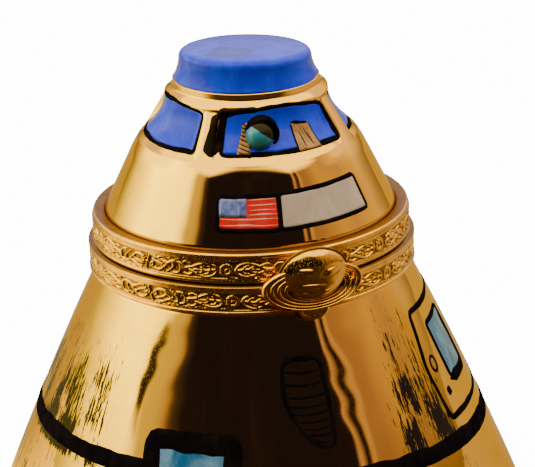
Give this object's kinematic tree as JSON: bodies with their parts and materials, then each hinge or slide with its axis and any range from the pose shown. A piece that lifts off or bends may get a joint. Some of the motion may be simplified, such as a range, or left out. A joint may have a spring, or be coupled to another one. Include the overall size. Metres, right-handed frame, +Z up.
{
  "type": "hinged trinket box in the shape of a conical space capsule",
  "caption": "Gilded porcelain trinket box shaped as a conical space capsule, its lid and base joined by engraved brass rims with a rear hinge and a ringed-planet clasp.",
  "frame": {"origin": "on the table, under the capsule's axis, at the plane of its foot ring", "axes": "+Z up along the capsule's axis towards its blue cap, -Y towards the clasp, +Y towards the hinge, +X to the right seen from the clasp"},
  "size_m": [0.0602, 0.0602, 0.0562],
  "materials": {
    "gold_lustre": "mirror gold lustre over glaze",
    "blue_enamel": "glossy painted blue",
    "turquoise_enamel": "glossy turquoise",
    "light_blue_enamel": "glossy light blue",
    "black_enamel": "glossy black",
    "flag_enamel": "glossy red and white stripes, blue corner",
    "plate_enamel": "glossy warm white",
    "gold_relief": "gold lustre over relief",
    "brass": "engraved, lightly aged"
  },
  "bodies": {
    "base": {"base_shell": "gold_lustre", "base_rim": "brass", "catch_tab": "brass", "hinge_leaf_base": "brass", "hinge_pin": "brass", "window_frame_left": "black_enamel", "window_pane_left": "light_blue_enamel", "window_frame_back": "black_enamel", "window_pane_back": "light_blue_enamel", "hatch_window_frame": "black_enamel", "hatch_window_pane": "light_blue_enamel"},
    "lid": {"lid_shell": "gold_lustre", "lid_rim": "brass", "hinge_leaf_lid": "brass", "clasp_mount": "brass", "clasp_planet": "brass", "clasp_ring": "brass", "port_collar": "black_enamel", "top_cap": "blue_enamel", "bay_panel_front": "blue_enamel", "bay_panel_right": "blue_enamel", "bay_panel_back": "blue_enamel", "bay_panel_left": "blue_enamel", "port_ball": "turquoise_enamel", "bay_gear_left": "gold_relief", "bay_gear_right": "gold_relief", "flag_panel": "flag_enamel", "name_plate": "plate_enamel"}
  },
  "joints": [
    {"name": "lid_hinge", "type": "hinge", "parent": "base", "child": "lid", "pos_m": [0, 0.019, 0.0357], "axis": [-1, 0, 0], "range_deg": [0, 100]}
  ]
}
